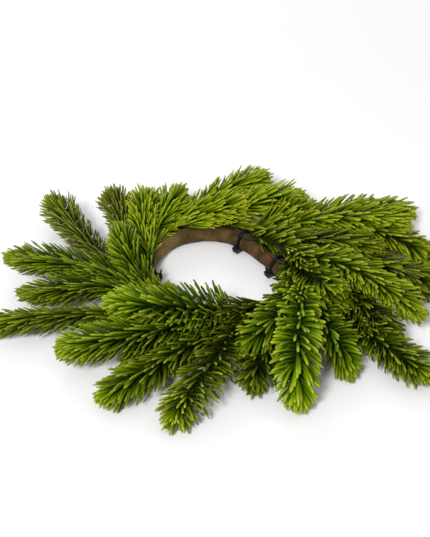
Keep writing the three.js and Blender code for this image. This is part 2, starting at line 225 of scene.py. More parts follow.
# Ring: a wound tube, with the slanting step of its wrap, lumps and fine wrinkles.
# Its plan was drawn before the part was centred on its box.
ring = dict(
    plan=[(59, 0), (47, 20), (29, 46), (8, 64), (-15, 68), (-38, 60), (-54, 38),
          (-58, 8), (-53, -22), (-34, -46), (-4, -55), (28, -51), (52, -33)],
    height=7.9, radius=6.5, planSteps=40, stations=336, sides=28, holeCentre=(0, 6, 0),
    gap=0.3,  # between the ring, the stems and the ties
    lump=0.35, lumpSize=14, wrinkle=0.10, wrinkleSize=2.1, wrinkleStretch=0.3,
    wrapPitch=23, wrapStep=0.3, wrapSlant=0.55, wrapStart=0.7, seamWidth=0.9, seamDepth=0.12,
    tanFrom=-30, tanOver=14,  # the left end turns tan
    shadeFrom=16, shadeOver=24,  # painted shade: the right end turns dark
    seamPatches=(9, 0.5, 0.5), tanPatches=(11, 0.75, 0.6), shadePatches=(7, 0.8, 0.5),  # size, mean, change
)
barkLook = dict(
    colour=[(0.25, (0.048, 0.028, 0.009)), (0.55, (0.088, 0.055, 0.018)), (0.85, (0.145, 0.095, 0.035))],
    tan=(0.24, 0.155, 0.058), seam=(0.024, 0.014, 0.006), seamShare=0.7, shadeShare=0.6,
    flecks=(0.22, 0.050, 0.015), fleckScale=95.0, fleckDetail=2.0, fleckFrom=(0.62, 0.72), fleckShare=0.8,
    roughness=(0.68, 0.92), shine=0.12, patch=0.011, grain=0.0008, mottle=1.5,
    relief=0.0003, reliefStrength=0.8,
)

ringCorners = [Vector((x, y, ring["height"])) for x, y in ring["plan"]]
ringPath = smoothPath(ringCorners, closed=True, steps=ring["planSteps"])
ringPath.append(ringPath[0].copy())
ringMarks = marksOf(ringPath)
ringLength = ringMarks[-1]
holeCentre = Vector(ring["holeCentre"])

# The plan's place in the part's frame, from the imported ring's box
low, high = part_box("ring_core")
planLow = Vector((min(p.x for p in ringPath), min(p.y for p in ringPath), 0))
planHigh = Vector((max(p.x for p in ringPath), max(p.y for p in ringPath), 0))
shift = (low + high) / 2 - (planLow + planHigh) * mm / 2
shift.z = 0
print("plan shifted by", [round(v / mm, 2) for v in shift], "mm")


def placed(point):  # from the plan's millimetres to the part's frame
    return point * mm + shift


def ringAt(distance):  # the point, direction and outward side at a distance along the ring
    distance %= ringLength
    i = next(k for k in range(len(ringMarks) - 1) if ringMarks[k + 1] > distance)
    a, b = ringPath[i], ringPath[i + 1]
    along = (b - a).normalized()
    point = a.lerp(b, (distance - ringMarks[i]) / (b - a).length)
    return point, along, along.cross(Vector((0, 0, 1)))


def tieDistance(around):  # how far along the ring a direction from the hole's centre meets it
    want = Vector((math.cos(math.radians(around)), math.sin(math.radians(around)), 0))
    flat = [((p - holeCentre) * Vector((1, 1, 0))).normalized() for p in ringPath[:-1]]
    return ringMarks[max(range(len(flat)), key=lambda i: flat[i].dot(want))]


def besideRing(distance, lift, off):  # a point off the ring's centreline, at a lift round its section
    point, _, outward = ringAt(distance)
    lift = math.radians(lift)
    return point + outward * off * math.cos(lift) + Vector((0, 0, off * math.sin(lift)))


def barkFinish():
    look = barkLook
    material, tree, shader, patches = newFinish("ring brown", look)
    colour = mixColours(tree, attribute(tree, "tan"), ramp(tree, patches, look["colour"]), look["tan"])
    # the shade mark is painted shade, laid in the seams' dark colour; the seams are the wrap's own dark
    # joints
    for mark, most in (("shade", look["shadeShare"]), ("seam", look["seamShare"])):
        share = times(tree, attribute(tree, mark), most)
        colour = mixColours(tree, share, colour, look["seam"])
    place = addNode(tree, "ShaderNodeTexCoord").outputs["Object"]
    cloud = {"Vector": place, "Scale": look["fleckScale"], "Detail": look["fleckDetail"]}
    flecks = above(tree, fromNode(tree, "ShaderNodeTexNoise", cloud), *look["fleckFrom"])
    colour = mixColours(tree, times(tree, flecks, look["fleckShare"]), colour, look["flecks"])
    tree.links.new(colour, shader["Base Color"])
    return material


def patchy(at, patches):
    size, mean, change = patches
    return mean + change * noise.noise(at / size)


def ringMesh():
    points, faces = [], []
    marks = {"seam": [], "tan": [], "shade": []}
    stations, sides = ring["stations"], ring["sides"]
    for i in range(stations):
        distance = ringLength * i / stations
        centre, along, outward = ringAt(distance)
        for k in range(sides):
            turn = 2 * math.pi * k / sides
            facing = outward * math.cos(turn) + Vector((0, 0, math.sin(turn)))
            at = centre + facing * ring["radius"]
            slant = ring["wrapSlant"] * math.sin(turn / 2 + ring["wrapStart"])
            wrap = (distance / ring["wrapPitch"] + slant) % 1
            seam = max(0.0, 1 - min(wrap, 1 - wrap) * ring["wrapPitch"] / ring["seamWidth"])
            step = ring["wrapStep"] * (0.5 - wrap) - seam * ring["seamDepth"]
            lump = noise.noise(at / ring["lumpSize"]) * ring["lump"]
            stretched = Vector((at.x, at.y, at.z * ring["wrinkleStretch"])) / ring["wrinkleSize"]
            wrinkle = noise.noise(stretched) * ring["wrinkle"]
            points.append(placed(centre + facing * (ring["radius"] + lump + step + wrinkle)))
            left = min(1.0, (ring["tanFrom"] - at.x) / ring["tanOver"])
            # painted shade, darker towards the right end
            right = min(1.0, (at.x - ring["shadeFrom"]) / ring["shadeOver"])
            marks["seam"].append(seam * patchy(at, ring["seamPatches"]))
            marks["tan"].append(left * patchy(at, ring["tanPatches"]))
            marks["shade"].append(right * patchy(at, ring["shadePatches"]))
    for i in range(stations):
        for k in range(sides):
            a, b = i * sides + k, i * sides + (k + 1) % sides
            following = ((i + 1) % stations) * sides
            faces.append((a, following + k, following + (k + 1) % sides, b))
    mesh = meshFrom("woundRing", points, [], faces)
    for name, values in marks.items():
        addValues(mesh, name, [max(0.0, v) for v in values])
    mesh.materials.append(barkFinish())
    return mesh


finishPiece(newPiece("wound_ring", ringMesh()), "ring_core")
print("ring wound")


# Sprigs, and the stems that carry them. For each sprig:
# around: the tie that binds it, in degrees round the hole. lift: its place round the ring's section.
# before, after: how far it follows the ring on each side of the tie. leafFrom: its bare foot's length.
# lean: how far its needles stand off. skew: this is added on its right and taken off on its left.
# freshAndLit: its green's freshness, with painted light; sprigs under others get less, as painted shade.
# headFreshAndLit: how much fresher and lighter at its head, with painted shade at its foot. hue: in
# degrees. dust: its grey.
# long, thick, dense, curl, wild: shares of its needles' length, thickness, number, curve and disorder.
# crown: the lean of those above and below it, as a share. shortSide: the share lacking on its right.
# footLength, footLean, footCurl: shares at its foot. taper: how long its closing head is, as a share.
# rimRoom: how far out from the ring's line its tips stay, at the back. route: its way once off the ring.
stem = dict(radius=1.2, leafyRadius=1.4, tipRadius=0.8, sides=8, bindStep=9, greening=12)
stemLook = dict(
    bare=[(0.2, (0.030, 0.020, 0.008)), (0.8, (0.075, 0.048, 0.018))], leafy=(0.010, 0.018, 0.001),
    roughness=(0.5, 0.75), shine=0.2, patch=0.003, grain=0.0005, mottle=1.4,
    relief=0.0002, reliefStrength=1.0,
)
usual = dict(  # what a sprig has, unless its own lines say otherwise
    before=9, after=8, leafFrom=13, hue=0, dust=0, long=1, thick=1, dense=1, wild=1, curl=1, skew=0,
    taper=1, crown=0.5, shortSide=0, headFreshAndLit=0.45, footLength=1, footLean=1, footCurl=1, rimRoom=2,
)
looseSprig = dict(dense=0.92, curl=1.05, rimRoom=-4)  # it sweeps off to the right
neatSprig = dict(dense=1.2, wild=0.42, curl=1.55)  # it points left
fineSprig = dict(thick=0.8, dense=1.4, wild=0.7, curl=1.55, footLength=0.6, rimRoom=-6)  # it's at the back
sprigs = {
    "sprig_01": dict(
        around=176, lift=64, after=36, leafFrom=1, lean=34, freshAndLit=1.3, hue=-2, thick=0.86, dense=1.25,
        wild=0.8, curl=1.55, rimRoom=-8,
        route=[(-22, 74, 19), (11, 78, 31)]),
    "sprig_02": dict(
        fineSprig, around=176, lift=118, leafFrom=1, lean=38, freshAndLit=1, hue=2,
        route=[(-55, 34, 24), (-47, 70, 28), (-38, 98, 27)]),
    "sprig_03": dict(
        fineSprig, around=176, lift=34, after=9, lean=36, freshAndLit=1.3, wild=0.8,
        route=[(-56, 52, 17), (-31, 75, 21), (2, 103, 26), (33, 131, 23)]),
    "sprig_04": dict(
        around=176, lift=4, after=46, leafFrom=19, lean=38, freshAndLit=1.15, thick=0.95, dense=1.2, wild=0.8,
        curl=1.55, rimRoom=-8,
        route=[(-34, 74, 10), (-8, 79, 14), (18, 85, 22), (39, 89, 27), (63, 100, 23)]),
    "sprig_05": dict(
        looseSprig, around=68, lift=63, before=40, after=3, leafFrom=8, lean=32, freshAndLit=0.5, hue=-3,
        thick=1.15, rimRoom=-3,
        route=[(35, 59, 19), (46, 66, 24), (56, 73, 25), (73, 84, 24)]),
    "sprig_06": dict(
        looseSprig, around=68, lift=42, after=3, lean=42, freshAndLit=0.95, hue=-1, thick=1.1,
        route=[(37, 57, 15), (54, 62, 19), (85, 69, 22), (111, 69, 24), (151, 70, 19)]),
    "sprig_07": dict(
        looseSprig, around=68, lift=-18, after=2, lean=42, freshAndLit=0.8, hue=-2, thick=1.1,
        route=[(36, 60, 5), (50, 69, 9), (72, 80, 13), (108, 91, 17), (157, 90, 17)]),
    "sprig_08": dict(
        looseSprig, around=68, lift=2, after=3, lean=42, freshAndLit=0.5, hue=-4, thick=1.1, shortSide=0.25,
        route=[(38, 56, 8), (54, 58, 9), (78, 62, 13), (120, 61, 17), (146, 43, 19), (171, 22, 17)]),
    "sprig_09": dict(
        looseSprig, around=68, lift=22, after=6, lean=42, freshAndLit=0.25, hue=-4, dust=0.1, thick=1.05,
        route=[(50, 46, 10), (78, 40, 10), (116, 23, 12), (145, 8, 13), (171, -10, 12)]),
    "sprig_10": dict(
        looseSprig, around=68, lift=84, after=4, lean=34, freshAndLit=0.2, hue=-2, shortSide=0.25,
        route=[(40, 45, 19), (66, 34, 24), (94, 30, 27), (124, 27, 23)]),
    "sprig_11": dict(
        looseSprig, around=68, lift=104, after=5, lean=48, freshAndLit=0.72, hue=-1, long=1.12, thick=1.05,
        shortSide=0.4,
        route=[(40, 38, 22), (62, 4, 31), (97, -16, 36), (126, -40, 32), (145, -55, 24)]),
    "sprig_12": dict(
        around=17, lift=94, after=4, lean=50, freshAndLit=0.38, hue=1, thick=1.2, dense=0.8, wild=1.3,
        route=[(59, 2, 24), (72, -26, 33), (88, -35, 33)]),
    "sprig_13": dict(
        around=17, lift=60, after=6, lean=48, freshAndLit=0.3, hue=-3, thick=1.1, headFreshAndLit=0.7,
        route=[(65, -6, 20), (77, -34, 24), (92, -39, 20)]),
    "sprig_14": dict(
        around=17, lift=-8, after=7, lean=56, freshAndLit=0.25, hue=1, long=1.15, dense=0.8, wild=0.6,
        shortSide=0.15, headFreshAndLit=0.9,
        route=[(70, 8, 8), (80, -12, 9), (97, -42, 13), (118, -82, 16), (147, -113, 13)]),
    "sprig_15": dict(
        around=350, lift=20, after=6, lean=56, freshAndLit=0.4, hue=4, thick=1.15, dense=0.8, curl=0.7, skew=-28,
        crown=0.35,
        route=[(69, -32, 15), (79, -67, 19), (86, -86, 19), (93, -102, 11)]),
    "sprig_16": dict(
        around=350, lift=60, after=4, lean=72, freshAndLit=0.85, hue=4, long=1.06, thick=1.35, dense=0.72,
        wild=1.3, curl=0.75, skew=14, crown=0.25,
        route=[(63, -30, 24), (59, -79, 36), (55, -113, 38), (54, -139, 16)]),
    "sprig_17": dict(
        around=350, lift=98, before=7, after=6, leafFrom=11, lean=55, freshAndLit=0.5, hue=3, thick=1.15,
        dense=0.85, wild=1.2, skew=12, crown=0.35,
        route=[(56, -38, 27), (39, -77, 30), (21, -90, 22)]),
    "sprig_18": dict(
        around=326, lift=25, after=6, leafFrom=14.4, lean=56, freshAndLit=0.1, dense=0.8, wild=1.3,
        route=[(50, -58, 14), (34, -92, 14), (25, -117, 11)]),
    "sprig_19": dict(
        around=326, lift=108, before=8, leafFrom=17.6, lean=32, freshAndLit=-0.15, hue=-5, dense=0.7, taper=1.3,
        route=[(29, -48, 20), (18, -54, 24), (5, -59, 24)]),
    "sprig_20": dict(
        around=308, lift=40, after=6, leafFrom=17.6, lean=72, freshAndLit=0.35, hue=-2, long=0.83, dense=0.74,
        wild=1.3, curl=0.75, skew=-28, shortSide=-0.1, headFreshAndLit=1.1,
        route=[(22, -64, 18), (-9, -122, 22), (-30, -157, 14)]),
    "sprig_21": dict(
        around=308, lift=5, after=6, leafFrom=20.8, lean=42, freshAndLit=0.35, hue=2, long=0.93, dense=0.85,
        headFreshAndLit=1,
        route=[(13, -70, 14), (-20, -87, 17), (-50, -117, 19), (-77, -133, 13)]),
    "sprig_22": dict(
        around=286, lift=-14, before=7, after=6, leafFrom=16, lean=40, freshAndLit=0.1, hue=3, dust=0.1,
        route=[(-8, -68, 9), (-38, -85, 11), (-62, -96, 11)]),
    "sprig_23": dict(
        around=286, lift=40, before=8, after=6, leafFrom=12.8, lean=48, freshAndLit=0.4, hue=4, long=0.86,
        wild=0.45, curl=1.2, crown=0.35, shortSide=-0.12, headFreshAndLit=0.8,
        route=[(-8, -64, 19), (-32, -75, 24), (-60, -86, 26), (-108, -92, 19)]),
    "sprig_24": dict(
        around=286, lift=92, before=12, after=6, lean=44, freshAndLit=0.6, hue=5, long=1.2, thick=1.1, wild=0.5,
        curl=1.1, headFreshAndLit=0.9, footLength=1.5, footLean=1.2, footCurl=0.2,
        route=[(-6, -56, 24), (-44, -63, 33), (-76, -58, 34)]),
    "sprig_25": dict(
        around=262, lift=108, before=14, leafFrom=8, lean=36, freshAndLit=0.2, long=1.2,
        route=[(-36, -43, 20), (-50, -28, 22)]),
    "sprig_26": dict(
        neatSprig, around=262, lift=18, leafFrom=27.2, lean=35, freshAndLit=0.2, long=0.58, thick=0.85, crown=0.2,
        shortSide=0.55, footLength=0.7,
        route=[(-46, -57, 11), (-82, -46, 13), (-129, -51, 15), (-165, -54, 14)]),
    "sprig_27": dict(
        neatSprig, around=236, lift=5, after=6, lean=38, freshAndLit=0.25, hue=2, long=0.5, thick=0.8, taper=2.2,
        crown=0.25, shortSide=-0.3, footLength=0.7,
        route=[(-66, -26, 14), (-86, -18, 17), (-106, -22, 19), (-144, -25, 16)]),
    "sprig_28": dict(
        neatSprig, around=236, lift=40, after=4, lean=32, freshAndLit=0.3, hue=2, long=0.88, thick=0.75,
        taper=1.8, crown=0.3, shortSide=-0.3, headFreshAndLit=0.6, footLength=0.6,
        route=[(-60, -28, 18.5), (-76, -12, 21), (-121, 4, 23), (-161, 15, 20)]),
    "sprig_29": dict(
        neatSprig, around=236, lift=80, before=8, after=12, leafFrom=12, lean=35, freshAndLit=0.4, hue=3,
        thick=0.8, taper=1.5, crown=0.35, footLength=0.6,
        route=[(-63, -8, 23), (-70, 0, 30), (-79, 28, 36)]),
    "sprig_30": dict(
        neatSprig, around=210, lift=-4, after=10, lean=40, freshAndLit=0.3, hue=-2, dust=0.3, thick=0.7,
        headFreshAndLit=1, footLength=0.5,
        route=[(-76, 9, 11), (-99, 34, 13), (-119, 59, 17), (-140, 92, 21)]),
    "sprig_31": dict(
        neatSprig, around=210, lift=30, after=15, lean=44, freshAndLit=0.3, hue=-4, dust=0.4, thick=0.7,
        footLength=0.5,
        route=[(-71, 10, 15), (-77, 34, 18), (-81, 70, 20), (-90, 99, 23)]),
    "sprig_32": dict(
        around=17, lift=26, after=6, lean=40, freshAndLit=-0.15, hue=-4, dense=0.7, headFreshAndLit=0.8,
        route=[(80, -3, 15), (100, -28, 19), (114, -53, 21), (126, -73, 18)]),
    "sprig_33": dict(
        fineSprig, around=176, lift=92, leafFrom=1, lean=40, freshAndLit=1.1,
        route=[(-62, 34, 25), (-62, 66, 30), (-63, 90, 29)]),
}
sprigs = {name: {**usual, **sprig} for name, sprig in sprigs.items()}
stemOff = ring["radius"] + ring["gap"] + stem["radius"]


def spineOf(sprig):  # from its foot, along the ring under its tie, and out along its route
    tiePlace = tieDistance(sprig["around"])
    before, after = sprig["before"], sprig["after"]
    points = [besideRing(tiePlace + before, sprig["lift"], stemOff)]
    for start, end in ((before, 0), (0, -after)):
        steps = max(1, round(abs(end - start) / stem["bindStep"]))
        places = [tiePlace + start + (end - start) * i / steps for i in range(1, steps + 1)]
        points += [besideRing(place, sprig["lift"], stemOff) for place in places]
    return smoothPath(points + [Vector(p) for p in sprig["route"]])


def stemFinish():
    look = stemLook
    material, tree, shader, patches = newFinish("stem brown", look)
    bare = ramp(tree, patches, look["bare"])
    colour = mixColours(tree, attribute(tree, "leafiness"), bare, look["leafy"])
    tree.links.new(colour, shader["Base Color"])
    return material


# Cable ties: a strap laid close round the ring and its stems, with its head and cut tail on the inner side.
# Head and tail: depth, width, height. Slot and tooth: height, width.
tie = dict(
    around=[176, 68, 17, 350, 326, 308, 286, 262, 236, 210], thickness=1.1, width=2.9, sides=56,
    headAngle=196, head=(4.5, 5.0, 4.9), headTaper=0.9, slot=(2.0, 3.2), slotSink=0.2, slotRise=0.35,
    tail=(1.0, 2.5, 5.2), tailSink=0.6, teeth=5, toothPitch=0.95, toothSize=(0.45, 1.75),
    toothSink=0.1, toothRise=0.2, toothTaper=0.6,
    rounding=0.32, roundingSteps=2, bevelFrom=50, sharpFrom=40,
)
tieLook = dict(
    colour=[(0.3, (0.002, 0.002, 0.002)), (0.7, (0.006, 0.006, 0.006))],
    roughness=(0.26, 0.42), shine=0.3, patch=0.005, grain=0.0004, mottle=0.8,
    relief=0.00008, reliefStrength=0.5,
)


def tieFinish():
    material, tree, shader, patches = newFinish("tie black", tieLook)
    tree.links.new(ramp(tree, patches, tieLook["colour"]), shader["Base Color"])
    return material


def strapLine(lifts, clearance):  # the outline of a band drawn tight round the ring and the stems
    lifts = [math.radians(lift) for lift in lifts]
    rounds = [(Vector((math.cos(a), math.sin(a))) * stemOff, stem["radius"] + clearance) for a in lifts]
    rounds.append((Vector((0, 0)), ring["radius"] + clearance))
    sides = tie["sides"]
    turns = [2 * math.pi * i / sides for i in range(sides)]
    facings = [Vector((math.cos(a), math.sin(a))) for a in turns]
    reach = [max(centre.dot(f) + radius for centre, radius in rounds) for f in facings]
    line = []
    for i, f in enumerate(facings):
        g, r, s = facings[(i + 1) % sides], reach[i], reach[(i + 1) % sides]
        cross = f.x * g.y - f.y * g.x
        line.append(Vector(((r * g.y - s * f.y) / cross, (s * f.x - r * g.x) / cross)))
    return line


def tieMesh(name, around, lifts):
    centre, along, outward = ringAt(tieDistance(around))
    turn = math.radians(tie["headAngle"])
    away = Vector((math.cos(turn), math.sin(turn)))
    across = Vector((-away.y, away.x))
    points, faces = [], []

    def put(x, y, z):
        points.append(placed(centre + outward * x + Vector((0, 0, y)) - along * z))
        return len(points) - 1

    def addBox(middle, depths, size, taper=1.0):  # from one depth to another, away from the ring
        corners = []
        for depth, share in zip(depths, (1.0, taper)):
            for z in (-1, 1):
                for side in (-1, 1):
                    spot = middle + away * depth + across * side * size[0] / 2 * share
                    corners.append(put(spot.x, spot.y, z * size[1] / 2 * share))
        a, b, c, d, e, f, g, h = corners
        faces.extend([(a, b, d, c), (e, g, h, f), (a, e, f, b), (c, d, h, g), (a, c, g, e), (b, f, h, d)])

    half = tie["width"] / 2
    inner = strapLine(lifts, ring["gap"])
    outer = strapLine(lifts, ring["gap"] + tie["thickness"])
    bands = ((inner, -half), (inner, half), (outer, half), (outer, -half))
    rows = [[put(p.x, p.y, z) for p in line] for line, z in bands]
    for j, row in enumerate(rows):
        following = rows[(j + 1) % len(rows)]
        for i in range(len(row)):
            k = (i + 1) % len(row)
            faces.append((row[i], row[k], following[k], following[i]))

    foot = ring["radius"] + ring["gap"] + tie["thickness"] / 2
    deep, wide, tall = tie["head"]
    top = foot + deep
    addBox(Vector((0, 0)), (foot, top), (tall, wide), tie["headTaper"])
    addBox(Vector((0, 0)), (top - tie["slotSink"], top + tie["slotRise"]), tie["slot"], tie["headTaper"])
    tailDeep, tailWide, tailTall = tie["tail"]
    tail = away * (foot + deep / 2) - across * (tall / 2 + tailTall / 2 - tie["tailSink"])
    addBox(tail, (-tailDeep / 2, tailDeep / 2), (tailTall, tailWide))
    toothDepths = (tailDeep / 2 - tie["toothSink"], tailDeep / 2 + tie["toothRise"])
    for n in range(tie["teeth"]):
        spot = tail + across * (n - (tie["teeth"] - 1) / 2) * tie["toothPitch"]
        addBox(spot, toothDepths, tie["toothSize"], tie["toothTaper"])
    return meshFrom(name, points, [], faces, smooth=False)


def roundedPiece(name, mesh):  # its sharp edges are rounded
    draft = newPiece(name + "_draft", mesh)
    rounding = draft.modifiers.new("rounding", "BEVEL")
    rounding.width = tie["rounding"] * mm
    rounding.segments = tie["roundingSteps"]
    rounding.limit_method = "ANGLE"
    rounding.angle_limit = math.radians(tie["bevelFrom"])
    view = bpy.context.evaluated_depsgraph_get()
    made = bpy.data.meshes.new_from_object(draft.evaluated_get(view))
    bpy.data.objects.remove(draft)
    made.name = name
    made.materials.clear()
    made.materials.append(tieBlack)
    made.shade_smooth()
    made.set_sharp_from_angle(angle=math.radians(tie["sharpFrom"]))
    return newPiece(name, made)


tieBlack = tieFinish()
for i, around in enumerate(tie["around"], 1):
    name = "tie_%02d" % i
    lifts = [sprig["lift"] for sprig in sprigs.values() if sprig["around"] == around]
    finishPiece(roundedPiece("cable_" + name, tieMesh("cable_" + name, around, lifts)), name)
print("ties closed")


# Needles: one soft blunt needle, copied round each sprig's stem. The profile is its breadth, root to tip.
needle = dict(
    length=17.5, width=1.9, thickness=1.7, sides=6,
    profile=[(0, 0.5), (0.12, 0.85), (0.5, 0.96), (0.86, 1.02), (0.965, 0.78), (1, 0.34)],
    perMillimetre=3.0, crowding=1.4, turn=137.5, turnSpread=24, leanMore=22, leanSpread=8,
    lengthSpread=0.07, thickSpread=0.08, curl=6.5, curlSpread=0.55, bendPower=2.0, droop=2.2,
    footFade=1.3, tipReach=16, tipLean=0.45, tipLength=0.5, flatten=0.8, siding=0.2,
    floor=0.5, ringRoom=8.0, ringTests=(0.5, 0.8, 1.0), ringLineStep=8, rimStart=-6.0,
    tieRoom=4.0, tieAhead=-1.5,
    # the up share paints light on needles facing up and shade on those facing down
    freshFrom=0.6, upPaintedLight=0.25, toneSpread=0.38, dustSpread=0.12, hueSpread=3.0, seedStep=20,
    draws=["turn", "lean", "length", "down", "curl", "aside", "tone", "thick", "dust", "rust", "hue"],
)
# Greens from root to tip: all run dark at the root, as painted shade among the needles, and to the needles'
# own yellow-green at the tip. The first greens serve stale and shaded needles, the second lighter and lit
# ones.
needleLook = dict(
    dark=[(0, (0.001, 0.002, 0.0)), (0.35, (0.006, 0.012, 0.0)), (0.75, (0.032, 0.052, 0.001)),
          (1, (0.090, 0.110, 0.005))],
    freshAndLit=[(0, (0.002, 0.005, 0.0)), (0.35, (0.030, 0.066, 0.0)), (0.75, (0.150, 0.232, 0.001)),
           (1, (0.38, 0.44, 0.030))],
    dusty=[(0, (0.003, 0.004, 0.001)), (0.4, (0.034, 0.038, 0.006)), (1, (0.160, 0.160, 0.040))],
    rust=(0.20, 0.12, 0.015), rustShare=0.35, rustFrom=0.85, tipFrom=0.86, saturation=1.02,
    roughness=(0.22, 0.34), shine=0.16, shineTint=(0.85, 1.0, 0.35), patchShare=0.5,
    patch=0.006, grain=0.0006, mottle=0.9, relief=0.00012, reliefStrength=0.5,
)


def needleFinish():
    look = needleLook
    material, tree, shader, patches = newFinish("needle green", look)
    shader["Specular Tint"].default_value = (*look["shineTint"], 1)
    along, tone = attribute(tree, "along"), attribute(tree, "tone")
    # the tone mixes the dark and the lighter greens: each needle's freshness, with painted light and shade
    share = calc(tree, "MULTIPLY_ADD", minus(tree, patches, 0.5), look["patchShare"], tone)
    # along each needle: painted shade at the root, its own yellow-green towards the tip
    colour = mixColours(tree, share, ramp(tree, along, look["dark"]), ramp(tree, along, look["freshAndLit"]))
    colour = mixColours(tree, attribute(tree, "dust"), colour, ramp(tree, along, look["dusty"]))
    rusty = above(tree, attribute(tree, "rust"), look["rustFrom"])
    atTip = above(tree, along, look["tipFrom"])
    browned = times(tree, times(tree, rusty, atTip), look["rustShare"])
    colour = mixColours(tree, browned, colour, look["rust"])
    hue = plus(tree, attribute(tree, "hue"), 0.5)
    shifted = {"Color": colour, "Hue": hue, "Saturation": look["saturation"]}
    tree.links.new(fromNode(tree, "ShaderNodeHueSaturation", shifted), shader["Base Color"])
    return material


def needleMesh():  # it lies along +Z
    sides, profile = needle["sides"], needle["profile"]
    points, faces, alongs = [], [], []
    for along, share in profile:
        for k in range(sides):
            turn = 2 * math.pi * (k + 0.5) / sides
            deep = math.sin(turn) * needle["thickness"] / 2 * share
            wide = math.cos(turn) * needle["width"] / 2 * share
            points.append(Vector((deep, wide, along * needle["length"])) * mm)
            alongs.append(along)
    for i in range(len(profile) - 1):
        for k in range(sides):
            a, b = i * sides + k, i * sides + (k + 1) % sides
            faces.append((a, a + sides, b + sides, b))
    last = (len(profile) - 1) * sides
    faces.append(tuple(range(sides)))
    faces.append(tuple(last + k for k in reversed(range(sides))))
    mesh = meshFrom("oneNeedle", points, [], faces)
    addValues(mesh, "along", alongs)
    return mesh


# The inputs of the sprig's node tree: first those of other kinds, then the plain numbers
askedKinds = {
    "Spine": "Geometry", "Needle": "Object", "Ring line": "Object", "Needle green": "Material",
    "Stem brown": "Material", "Hole centre": "Vector", "Needles": "Int", "Seed": "Int",
}
askedNumbers = (
    "Bare length", "Needle length", "Crowding", "Turn", "Turn spread", "Lean", "Lean spread",
    "Skew", "Length spread", "Curl", "Curl spread", "Droop", "Thick", "Short side", "Foot length",
    "Foot lean", "Foot curl", "Tip reach", "Tip lean", "Tip length", "Flatten", "Crown lean", "Siding",
    "Floor", "Ring room", "Rim room", "Rim start", "Tie place", "Tie room", "Fresh and lit", "Head fresh and lit",
    "Up painted light", "Tone spread", "Dust", "Hue", "Hue spread", "Stem radius", "Tip radius",
)


def vary(tree, put, spread, draw):  # a number for each needle, from minus the spread to the spread
    less = times(tree, spread, -1.0) if isinstance(spread, bpy.types.NodeSocket) else -spread
    seed = plus(tree, put["Seed"], 1.0 + needle["draws"].index(draw))
    return addNode(tree, "FunctionNodeRandomValue", {2: less, 3: spread, "Seed": seed}).outputs[1]


def needleRoots(tree, put, spine, whole):  # they crowd towards the tip
    order = fromNode(tree, "GeometryNodeInputIndex")
    share = calc(tree, "DIVIDE", order, minus(tree, put["Needles"], 1.0))
    leafy = minus(tree, whole, put["Bare length"])
    toTip = calc(tree, "POWER", minus(tree, 1.0, share), put["Crowding"])
    toTip = times(tree, leafy, toTip)
    rootAt = minus(tree, whole, toTip)
    sample = addNode(tree, "GeometryNodeSampleCurve", {"Curves": spine, "Length": rootAt}, mode="LENGTH")
    values = {"Count": put["Needles"], "Position": sample.outputs["Position"]}
    return dict(
        points=fromNode(tree, "GeometryNodePoints", values), order=order, share=share, at=rootAt,
        along=sample.outputs["Tangent"], place=fromNode(tree, "GeometryNodeInputPosition"),
        fromFoot=times(tree, share, needle["footFade"]),
        opening=calc(tree, "MINIMUM", calc(tree, "DIVIDE", toTip, put["Tip reach"]), 1.0),
    )


def needleTurn(tree, put, root):  # a spiral round the stem, drawn a little to its two sides
    turn = times(tree, root["order"], put["Turn"])
    turn = plus(tree, turn, vary(tree, put, put["Turn spread"], "turn"))
    sided = calc(tree, "SINE", times(tree, turn, 2.0))
    return minus(tree, turn, times(tree, put["Siding"], sided))


def needleFacing(tree, put, root, turn, side):  # how far it leans, and which way
    sideShare = calc(tree, "COSINE", turn)
    lean = times(tree, put["Lean"], blend(tree, put["Tip lean"], 1.0, root["opening"]))
    crown = blend(tree, put["Crown lean"], 1.0, calc(tree, "ABSOLUTE", sideShare))
    lean = times(tree, lean, crown)
    lean = times(tree, lean, blend(tree, put["Foot lean"], 1.0, root["fromFoot"]))
    lean = plus(tree, lean, vary(tree, put, put["Lean spread"], "lean"))
    lean = plus(tree, lean, times(tree, put["Skew"], sideShare))
    over = vectorCalc(tree, "CROSS_PRODUCT", side, root["along"])
    upShare = times(tree, calc(tree, "SINE", turn), put["Flatten"])
    spoke = vectorCalc(tree, "ADD", scaled(tree, side, sideShare), scaled(tree, over, upShare))
    outward = scaled(tree, vectorCalc(tree, "NORMALIZE", spoke), calc(tree, "SINE", lean))
    return vectorCalc(tree, "ADD", outward, scaled(tree, root["along"], calc(tree, "COSINE", lean)))


def needleSize(tree, put, root, turn):  # its length, as a share of a whole needle's
    size = plus(tree, 1.0, vary(tree, put, put["Length spread"], "length"))
    size = times(tree, blend(tree, put["Tip length"], 1.0, root["opening"]), size)
    rightward = calc(tree, "MAXIMUM", calc(tree, "COSINE", turn), 0.0)
    shorter = times(tree, rightward, put["Short side"])
    size = times(tree, size, minus(tree, 1.0, shorter))
    return times(tree, size, blend(tree, put["Foot length"], 1.0, root["fromFoot"]))


def offFloor(tree, put, root, facing, reach):  # no needle dips under the floor
    least = minus(tree, put["Floor"], heightOf(tree, root["place"]))
    return vectorCalc(tree, "NORMALIZE", keptAbove(tree, facing, calc(tree, "DIVIDE", least, reach)))


